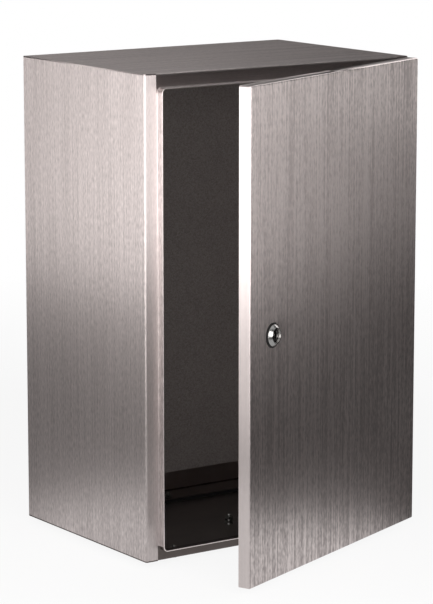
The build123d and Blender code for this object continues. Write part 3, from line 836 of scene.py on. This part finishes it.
class ENCLOSURE_OT_shell(bpy.types.Operator):
    """Brush the sheets of the body and lay its inner welds"""

    bl_idname = "enclosure.shell"
    bl_label = "Body Shell"

    def execute(self, context):
        looks = context.scene.enclosure_looks
        sizes = context.scene.enclosure_sizes
        middle = middle_of("side_wrap")
        # Inner tones darkened as painted shade for the box's shaded inside.
        inside_tones = looks.inside_mill_painted_shade_dark, looks.inside_mill_painted_shade_light
        for node, name, axis, face, scratch_share, evenness in (
            ("side_wrap", "sheet_brushed_upright", "Z", (1, 0, 0), 0.42, 0.14),
            ("top_panel", "sheet_brushed_across", "X", (0, 0, 1), 0.26, 0.13),
        ):
            sheet = brushed_sheet(
                name,
                axis,
                looks,
                middle=middle,
                face=face,
                inside_tones=inside_tones,
                width=looks.body_grain,
                scratch_share=scratch_share,
                evenness=evenness,
            )
            finish_node(node, sheet)
        # The bottom panel's mill finish, darkened as painted shade.
        finish_node("bottom_panel", mill_sheet("bottom_painted_shade_mill", looks.bottom_painted_shade_dark, looks.bottom_painted_shade_light))
        self.lip_edge(looks, sizes)
        self.welds(looks, sizes)
        return {"FINISHED"}

    def lip_edge(self, looks, sizes):
        """The deburred, rounded edge of the lip, all round the opening."""
        bottom = sizes.lip_bottom + sizes.sheet / 2
        top = sizes.lip_top - sizes.sheet / 2
        side = sizes.lip_side - sizes.sheet / 2
        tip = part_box("side_wrap")[0].y
        half = sizes.sheet / 2
        turns = [math.pi * step / LIP_EDGE_STEPS for step in range(LIP_EDGE_STEPS + 1)]
        profile = [(-1.0, 1.0), *((-math.cos(turn), -math.sin(turn)) for turn in turns), (1.0, 1.0)]
        rings = [
            [
                (x + out_x * half * across, tip + sizes.lip_round * depth, z + out_z * half * across)
                for across, depth in profile
            ]
            for x, z, out_x, out_z in rounded_loop(
                -side, side, bottom, top, sizes.seal_corner, LIP_EDGE_STEP
            )
        ]
        shape = Shape()
        shape.add_rings(rings, joined=True)
        stand_for(shape.make("deburred_lip_edge", cut_edge(looks)), "body", "bare_stainless")

    def welds(self, looks, sizes):
        """Beads along the corners where the end panels meet the side wrap."""
        low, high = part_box("side_wrap")
        left, right = low.x + sizes.sheet, high.x - sizes.sheet
        back = high.y - sizes.sheet
        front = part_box("bottom_panel")[0].y + sizes.weld_front
        shape = Shape()
        for level, up in ((low.z, Vector((0, 0, 1))), (high.z, Vector((0, 0, -1)))):
            near_left, near_right = Vector((left, front, level)), Vector((right, front, level))
            far_left, far_right = Vector((left, back, level)), Vector((right, back, level))
            for start, end, inward in (
                (near_left, far_left, Vector((1, 0, 0))),
                (far_left, far_right, Vector((0, -1, 0))),
                (far_right, near_right, Vector((-1, 0, 0))),
            ):
                add_weld(shape, start, end, inward, up, sizes.weld_leg, sizes.weld_ripple)
        stand_for(shape.make("corner_welds", weld_metal(looks)), "body", "bare_stainless")


class ENCLOSURE_OT_door(bpy.types.Operator):
    """Brush the door and pour its seal"""

    bl_idname = "enclosure.door"
    bl_label = "Door"

    def execute(self, context):
        looks = context.scene.enclosure_looks
        upright = brushed_sheet(
            "door_brushed_upright",
            "Z",
            looks,
            middle=middle_of("door_panel"),
            face=AJAR.to_3x3() @ Vector((0, 1, 0)),
            inside_tones=(looks.door_inside_dark, looks.door_inside_light),
            width=looks.door_grain,
            scratch_share=0.32,
            evenness=0.08,
            # Lifts the door's edges as a painted highlight.
            edge_painted_light=0.55,
        )
        finish_node("door_panel", upright)
        self.seal(looks, context.scene.enclosure_sizes)
        return {"FINISHED"}

    def seal(self, looks, sizes):
        """A poured ring of foam, domed and slightly uneven."""
        low, high = extent(points_of("door_seal", SHUT))
        half = sizes.seal_width / 2
        path = rounded_loop(low.x + half, high.x - half, low.z + half, high.z - half, sizes.seal_corner)
        height = high.y - low.y
        rings = []
        travel = 0.0
        for index, (x, z, out_x, out_z) in enumerate(path):
            before_x, before_z = path[index - 1][:2]
            travel += math.hypot(x - before_x, z - before_z) if index else 0.0
            long_swell = math.sin(travel / SEAL_LONG_SWELL)
            short_swell = math.sin(travel / SEAL_SHORT_SWELL + SEAL_SWELL_START)
            crown = height - sizes.seal_swell * (0.5 + 0.25 * long_swell + 0.25 * short_swell)
            rings.append(
                [
                    (x + out_x * half * across, low.y + crown * lift, z + out_z * half * across)
                    for across, lift in SEAL_PROFILE
                ]
            )
        shape = Shape()
        shape.add_rings(rings, AJAR, joined=True)
        piece = shape.make("poured_door_seal", black_foam(looks))
        stand_for(piece, "door", "black_foam", "door_seal")


class ENCLOSURE_OT_inside(bpy.types.Operator):
    """Finish the mounting plate, the gland plate and the hinges"""

    bl_idname = "enclosure.inside"
    bl_label = "Plates and Hinges"

    def execute(self, context):
        looks = context.scene.enclosure_looks
        sizes = context.scene.enclosure_sizes
        finish_node("mounting_plate", galvanised_sheet(looks))
        mill = mill_sheet("mill_stainless", looks.mill_dark, looks.mill_light)
        finish_node("gland_plate", mill)
        finish_node("gland_plate_seal", black_foam(looks))
        for node, body in (
            ("hinge_body_leaves", "body"),
            ("hinge_pins", "body"),
            ("hinge_door_leaves", "door"),
        ):
            piece = eased_copy(node, f"eased_{node}", mill, sizes.cast_edge)
            stand_for(piece, body, "bare_stainless", node)
        return {"FINISHED"}


class ENCLOSURE_OT_fasteners(bpy.types.Operator):
    """Cut threads and hexagons for the studs, nuts, washers and screws"""

    bl_idname = "enclosure.fasteners"
    bl_label = "Fasteners"

    def execute(self, context):
        sizes = context.scene.enclosure_sizes
        self.zinc = zinc_plate(context.scene.enclosure_looks)
        out = Vector((0, -1, 0))
        up = Vector((0, 0, 1))
        back = Vector((0, 1, 0))
        self.studs("plate_studs", "body", out, sizes.plate_pitch)
        self.rings("plate_spacers", "body", out, sizes.plate_bore)
        self.rings("plate_washers", "body", out, sizes.plate_bore)
        self.nuts("plate_nuts", "body", out, sizes.plate_bore)
        self.screws(sizes, up)
        self.nuts("gland_plate_nuts", "body", up, sizes.gland_bore)
        for prefix, body, direction, into in (
            ("gland_earth", "body", up, IN_PLACE),
            ("door_earth", "door", back, SHUT),
        ):
            self.studs(f"{prefix}_stud", body, direction, sizes.earth_pitch, into)
            self.rings(f"{prefix}_washers", body, direction, sizes.earth_bore, into)
            self.nuts(f"{prefix}_nuts", body, direction, sizes.earth_bore, into)
        return {"FINISHED"}

    def placed(self, node, direction, into):
        """For each solid of a node: where its foot stands, how long it is and its widths across."""
        axis = max(range(3), key=lambda index: abs(direction[index]))
        for low, high in solids_of(node, into):
            foot = (low + high) / 2
            foot[axis] = low[axis] if direction[axis] > 0 else high[axis]
            widths = sorted((high - low)[index] for index in range(3) if index != axis)
            yield into.inverted() @ along(foot, direction), (high - low)[axis], widths

    def finish(self, shape, node, body):
        """Make one object of a node's fasteners, and let it stand for the node."""
        stand_for(shape.make(f"cut_{node}", self.zinc), body, "zinc_plated", node)

    def studs(self, node, body, direction, pitch, into=IN_PLACE):
        """Threaded studs."""
        shape = Shape()
        for place, length, widths in self.placed(node, direction, into):
            add_stud(shape, place, widths[0] / 2, pitch, length)
        self.finish(shape, node, body)

    def rings(self, node, body, direction, bore, into=IN_PLACE):
        """Washers and spacers."""
        shape = Shape()
        for place, length, widths in self.placed(node, direction, into):
            add_washer(shape, place, widths[1] / 2, bore / 2, length)
        self.finish(shape, node, body)

    def nuts(self, node, body, direction, bore, into=IN_PLACE):
        """Hexagon nuts."""
        shape = Shape()
        for place, length, widths in self.placed(node, direction, into):
            add_nut(shape, place, widths[0], bore / 2, length)
        self.finish(shape, node, body)

    def screws(self, sizes, up):
        """The gland plate's button-head screws."""
        shape = Shape()
        for place, length, widths in self.placed("gland_plate_screws", up, IN_PLACE):
            add_button_screw(
                shape,
                place,
                sizes.gland_bore / 2,
                sizes.gland_pitch,
                length,
                widths[1] / 2,
                sizes.gland_head,
                sizes.gland_socket,
            )
        self.finish(shape, "gland_plate_screws", "body")


LOCK_SEGMENTS = 96
CORE_SEGMENTS = 64
PIN_SEGMENTS = 32
CORE_MIDDLE = 0.2
NEARLY_NONE = 1e-6


class ENCLOSURE_OT_lock(bpy.types.Operator):
    """Turn the lock's housing and core, and ease its cam"""

    bl_idname = "enclosure.lock"
    bl_label = "Lock"

    def execute(self, context):
        looks = context.scene.enclosure_looks
        sizes = context.scene.enclosure_sizes
        low, high = extent(points_of("lock_housing", SHUT))
        self.axis_x = (low.x + high.x) / 2
        self.axis_z = (low.z + high.z) / 2
        chrome = polished_chrome(looks)
        zinc = zinc_plate(looks)
        dark_metal = dark_lock_metal(looks)
        self.housing(chrome, sizes, low, high)
        # The dish gets a dark layer: painted shade in the bezel's recess.
        self.dish(dark_metal, sizes, low, high)
        self.core(dark_metal, sizes)
        self.nut(zinc, sizes)
        finish_node("lock_seal", black_foam(looks))
        for node in ("lock_cam", "cam_screw"):
            piece = eased_copy(node, f"eased_{node}", zinc, sizes.cast_edge)
            stand_for(piece, "lock_core", "zinc_plated", node)
        return {"FINISHED"}

    def outward(self, y):
        """A place on the lock's axis, looking out of the door."""
        return AJAR @ along(Vector((self.axis_x, y, self.axis_z)), Vector((0, -1, 0)))

    def housing(self, chrome, sizes, low, high):
        """A threaded barrel and a dished, conical bezel."""
        length = high.y - low.y
        bezel = (high.x - low.x) / 2
        seat = length - sizes.bezel_height
        bore = sizes.lock_bore / 2
        barrel = sizes.barrel / 2
        dish = length - sizes.dish_depth
        corners = [
            (barrel, seat),
            (bezel, seat),
            (bezel, seat + sizes.bezel_rim),
            (sizes.crest / 2, length),
            (sizes.crest / 2 - sizes.crest_width, length),
            (sizes.dish / 2, dish),
            (bore, dish),
        ]
        rings = [circle(bore, 0, LOCK_SEGMENTS)]
        rings.extend(thread_rings(barrel, sizes.lock_pitch, 0, seat - sizes.lock_pitch, LOCK_SEGMENTS))
        rings.append(circle(barrel, seat - sizes.lock_pitch / 2, LOCK_SEGMENTS))
        eased = rounded(corners, sizes.bezel_edge)
        rings.extend(circle(radius, height, LOCK_SEGMENTS) for radius, height in eased)
        shape = Shape()
        shape.add_rings(rings, self.outward(high.y), joined=True)
        stand_for(shape.make("turned_lock_housing", chrome), "door", "bright_chrome", "lock_housing")

    def dish(self, metal, sizes, low, high):
        """A dark layer over the dish inside the bezel: painted shade in the recess."""
        length = high.y - low.y
        floor = length - sizes.dish_depth
        rim = sizes.crest / 2 - sizes.crest_width
        shade_layer = sizes.dish_painted_shade_thickness
        outline = [
            (rim, length - shade_layer),
            (sizes.dish / 2, floor - shade_layer),
            (sizes.lock_bore / 2, floor - shade_layer),
            (sizes.lock_bore / 2, floor + shade_layer),
            (sizes.dish / 2 - shade_layer, floor + shade_layer),
            (rim - shade_layer, length - shade_layer),
        ]
        shape = Shape()
        turned(shape, outline, self.outward(high.y))
        stand_for(shape.make("lock_dish_painted_shade", metal), "door", "dark_core")

    def core(self, metal, sizes):
        """The core with its key pocket, its double-bit pin and its square tail."""
        low, high = extent(points_of("lock_core", SHUT))
        cam_low, cam_high = extent(points_of("lock_cam", SHUT))
        tail = cam_high.y - cam_low.y
        length = high.y - low.y - tail
        radius = (high.x - low.x) / 2
        pocket = sizes.pocket / 2
        ease = sizes.cast_edge
        floor = length - sizes.pocket_depth
        place = self.outward(cam_low.y)
        outline = [
            (CORE_MIDDLE * pocket, floor),
            (pocket, floor),
            (pocket, length - ease),
            (pocket + ease, length),
            (radius - ease, length),
            (radius, length - ease),
            (radius, 0),
            (CORE_MIDDLE * pocket, 0),
        ]
        shape = Shape()
        rings = [circle(size, height, CORE_SEGMENTS) for size, height in outline]
        shape.add_rings(rings, place, caps=True)
        self.pin(shape, place, floor, length - sizes.pin_sink, sizes)
        half = sizes.tail / 2
        square = [(-half, -half), (half, -half), (half, half), (-half, half)]
        levels = ((-tail, half - ease), (-tail + ease, half), (0, half))
        rings = [[(x * size / half, y * size / half, level) for x, y in square] for level, size in levels]
        shape.add_rings(rings, place, caps=True)
        stand_for(shape.make("turned_lock_core", metal), "lock_core", "dark_core", "lock_core")

    def pin(self, shape, place, bottom, top, sizes):
        """A round pin with two wings, its top edge eased."""
        reach, thick, pin = sizes.wing_reach / 2, sizes.wing_thickness / 2, sizes.pin / 2
        outline = []
        for step in range(PIN_SEGMENTS):
            turn = math.tau * step / PIN_SEGMENTS
            across, up = math.cos(turn), math.sin(turn)
            wing = min(reach / max(abs(up), NEARLY_NONE), thick / max(abs(across), NEARLY_NONE))
            size = max(pin, wing)
            outline.append((size * across, size * up))
        ease = sizes.cast_edge
        rings = [[(x, y, bottom) for x, y in outline], [(x, y, top - ease) for x, y in outline]]
        shrink = 1 - ease / pin
        rings.append([(x * shrink, y * (1 - ease / reach), top) for x, y in outline])
        shape.add_rings(rings, place, caps=True)

    def nut(self, zinc, sizes):
        """The big nut behind the door."""
        low, high = extent(points_of("lock_nut", SHUT))
        flats = min(high.x - low.x, high.z - low.z)
        shape = Shape()
        add_nut(shape, self.outward(high.y), flats, sizes.barrel / 2, high.y - low.y)
        stand_for(shape.make("cut_lock_nut", zinc), "door", "zinc_plated", "lock_nut")


def seen_by_eye(tree):
    """1 for rays from the camera, straight, mirrored or through glass, and 0 for light on matt surfaces."""
    path = add_node(tree, "ShaderNodeLightPath", {})
    either = path.outputs["Is Camera Ray"]
    for ray in ("Is Glossy Ray", "Is Transmission Ray"):
        rays = {0: either, 1: path.outputs[ray]}
        either = add_node(tree, "ShaderNodeMath", rays, operation="MAXIMUM").outputs[0]
    return either


CLOTH_THINS = 0.0, 0.45
FLOOR_FADES = 0.4
STAGE_SEGMENTS = 96


class ENCLOSURE_OT_stage(bpy.types.Operator):
    """Set the floor, the dark cloth, the lamps and the camera"""

    bl_idname = "enclosure.stage"
    bl_label = "Stage"

    def execute(self, context):
        studio = context.scene.enclosure_studio
        context.scene.view_settings.view_transform = "Standard"
        self.camera(context, studio)
        self.floor(studio)
        self.dark_cloth(studio)
        self.lamps(context, studio)
        self.world(context, studio)
        return {"FINISHED"}

    def camera(self, context, studio):
        """A camera at the photograph's angle."""
        data = bpy.data.cameras.new("camera")
        data.lens = studio.camera_lens
        camera = bpy.data.objects.new("camera", data)
        camera.location = studio.camera_place
        camera.rotation_euler = (math.pi / 2 - studio.camera_dip, 0.0, -studio.camera_turn)
        context.scene.collection.objects.link(camera)
        context.scene.camera = camera

    def floor(self, studio):
        """A pale paper floor, near white to the eye, whose rim fades into the white room."""
        shape = Shape()
        reaches = studio.floor_reach, MM
        shape.add_rings([circle(reach, FLOOR_LEVEL, STAGE_SEGMENTS) for reach in reaches])
        finish = Finish("floor_paper", roughness=0.9)
        finish.paint(studio.floor_tone)
        seen_white = finish.add((seen_by_eye(finish.tree), studio.floor_white))
        lit = finish.between(seen_white, finish.shader, finish.node("ShaderNodeEmission", {}))
        distance = finish.node("ShaderNodeVectorMath", {0: finish.place}, operation="LENGTH")
        fades = FLOOR_FADES * studio.floor_reach
        rim = finish.spread(distance.outputs["Value"], 0.0, 1.0, fades, studio.floor_reach)
        finish.show(finish.between(rim, lit, finish.node("ShaderNodeBsdfTransparent", {})))
        shape.make("floor", finish.material)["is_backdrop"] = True

    def dark_cloth(self, studio):
        """Dark cloth and a dark curtain, which only reflections see.

        They hide most of the white room from the metal, which is far paler without them. Two soft-edged
        openings, before the door and behind the right side, let the pale floor show.
        """
        finish = Finish("dark_cloth")
        finish.paint(studio.cloth_tone)
        depth = finish.node("ShaderNodeSeparateXYZ", {0: finish.place})
        cover = finish.spread(depth.outputs["Y"], 1.0, studio.cloth_back, *CLOTH_THINS)
        for middle, opened, closed in (
            (studio.cloth_place, studio.cloth_open, studio.cloth_closed),
            (studio.rear_place, studio.rear_open, studio.rear_closed),
        ):
            away = finish.vector("DISTANCE", finish.place, (*middle[:2], FLOOR_LEVEL))
            veil = finish.spread(away, studio.cloth_veil, 1.0, opened, closed)
            cover = finish.node("ShaderNodeMath", {0: cover, 1: veil}, operation="MULTIPLY").outputs[0]
        clear = finish.node("ShaderNodeBsdfTransparent", {})
        finish.show(finish.between(cover, clear, finish.shader))
        ring = Shape()
        reaches = MM, studio.curtain_distance
        ring.add_rings([circle(reach, FLOOR_LEVEL + MM, STAGE_SEGMENTS) for reach in reaches])
        curtain = Shape()
        heights = FLOOR_LEVEL, studio.curtain_height
        curtain.add_rings([circle(studio.curtain_distance, height, STAGE_SEGMENTS) for height in heights])
        plain = Finish("dark_curtain")
        plain.paint(studio.cloth_tone)
        for shape, name, material in (
            (ring, "cloth_on_floor", finish.material),
            (curtain, "curtain", plain.material),
        ):
            cloth = shape.make(name, material)
            cloth.visible_camera = False
            cloth.visible_diffuse = False
            cloth.visible_transmission = False
            cloth.visible_shadow = False
            cloth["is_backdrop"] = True

    def lamps(self, context, studio):
        """Upright soft boxes round the set: azimuth in degrees, distance, width, bottom, top and level."""
        for name, azimuth, distance, width, bottom, top, level in (
            ("front_lamp", 250, 0.95, 0.66, 0.24, 0.85, studio.front_level),
            ("key_lamp", 215, 0.95, 0.50, 0.02, 0.85, studio.key_level),
            ("left_lamp", 172, 0.95, 0.80, 0.20, 0.85, studio.left_level),
            ("back_lamp", 14, 1.70, 0.90, 0.34, 1.60, studio.back_level),
        ):
            data = bpy.data.lights.new(name, "AREA")
            data.shape = "RECTANGLE"
            data.size = width
            data.size_y = top - bottom
            data.energy = level * math.pi * width * (top - bottom)
            data.color = studio.lamp_tone
            lamp = bpy.data.objects.new(name, data)
            turn = math.radians(azimuth)
            facing = Vector((math.cos(turn), math.sin(turn), 0.0))
            lamp.location = Vector(studio.lamp_middle) + facing * distance
            lamp.location.z = FLOOR_LEVEL + (bottom + top) / 2
            lamp.rotation_euler = facing.to_track_quat("Z", "Y").to_euler()
            lamp.visible_camera = False
            context.scene.collection.objects.link(lamp)

    def world(self, context, studio):
        """A white room for the eye and for reflections, and a dimmer, even light for everything else."""
        world = bpy.data.worlds.new("room")
        world.use_nodes = True
        tree = world.node_tree
        seen = tree.nodes["Background"]
        seen.inputs["Color"].default_value = (1.0, 1.0, 1.0, 1.0)
        even = add_node(tree, "ShaderNodeBackground", {"Color": (*studio.room_tone, 1.0)})
        shades = {0: seen_by_eye(tree), 1: even.outputs[0], 2: seen.outputs[0]}
        mix = add_node(tree, "ShaderNodeMixShader", shades)
        tree.links.new(mix.outputs[0], tree.nodes["World Output"].inputs["Surface"])
        context.scene.world = world


class ENCLOSURE_PT_panel(bpy.types.Panel):
    """The enclosure's operators and settings"""

    bl_idname = "ENCLOSURE_PT_panel"
    bl_label = "Wall Enclosure"
    bl_space_type = "VIEW_3D"
    bl_region_type = "UI"
    bl_category = "Enclosure"

    def draw(self, context):
        for operator in OPERATORS:
            self.layout.operator(operator.bl_idname)


OPERATORS = (
    ENCLOSURE_OT_shell,
    ENCLOSURE_OT_door,
    ENCLOSURE_OT_inside,
    ENCLOSURE_OT_fasteners,
    ENCLOSURE_OT_lock,
    ENCLOSURE_OT_stage,
)
SETTINGS = {
    "enclosure_looks": EnclosureLooks,
    "enclosure_sizes": EnclosureSizes,
    "enclosure_studio": EnclosureStudio,
}


def register():
    for group in SETTINGS.values():
        bpy.utils.register_class(group)
    for kind in (*OPERATORS, ENCLOSURE_PT_panel):
        bpy.utils.register_class(kind)
    for name, group in SETTINGS.items():
        setattr(bpy.types.Scene, name, PointerProperty(type=group))


def unregister():
    for name in SETTINGS:
        delattr(bpy.types.Scene, name)
    for kind in reversed((*OPERATORS, ENCLOSURE_PT_panel)):
        bpy.utils.unregister_class(kind)
    for group in SETTINGS.values():
        bpy.utils.unregister_class(group)


def main():
    register()
    bpy.ops.enclosure.shell()
    bpy.ops.enclosure.door()
    bpy.ops.enclosure.inside()
    bpy.ops.enclosure.fasteners()
    bpy.ops.enclosure.lock()
    bpy.ops.enclosure.stage()
    boxes = {"cad": CAD_BOX, "visual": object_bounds()}
    {name: [list(corner) for corner in box] for name, box in boxes.items()}


if __name__ == "__main__":
    main()
